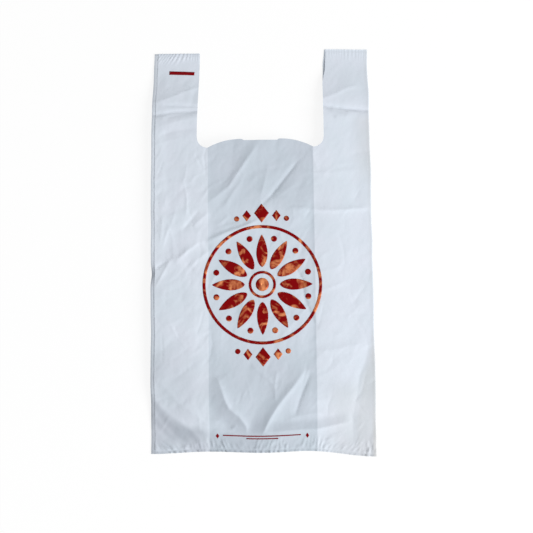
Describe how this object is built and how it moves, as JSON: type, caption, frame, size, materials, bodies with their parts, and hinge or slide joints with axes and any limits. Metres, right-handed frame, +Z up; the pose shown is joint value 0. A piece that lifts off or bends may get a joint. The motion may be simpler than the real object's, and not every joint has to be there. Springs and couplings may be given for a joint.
{
  "type": "carrier bag",
  "caption": "Vest-style plastic carrier bag lying flat and relaxed: a gusseted film tube sealed along the bottom, with a punched mouth between looped carrying handles",
  "frame": {"origin": "centre of the flat bag's outline, on the surface that the back panel lies on", "axes": "+X across the bag, +Y along it from the sealed bottom towards the handles, +Z up from the back panel to the front panel"},
  "size_m": [0.2538, 0.472, 0.0131],
  "materials": {
    "film": "thin translucent white film with a satin surface and fine creases",
    "foil_print": "printed red foil with copper glints"
  },
  "bodies": {
    "root": {"carrier_bag": "film"}
  },
  "joints": []
}
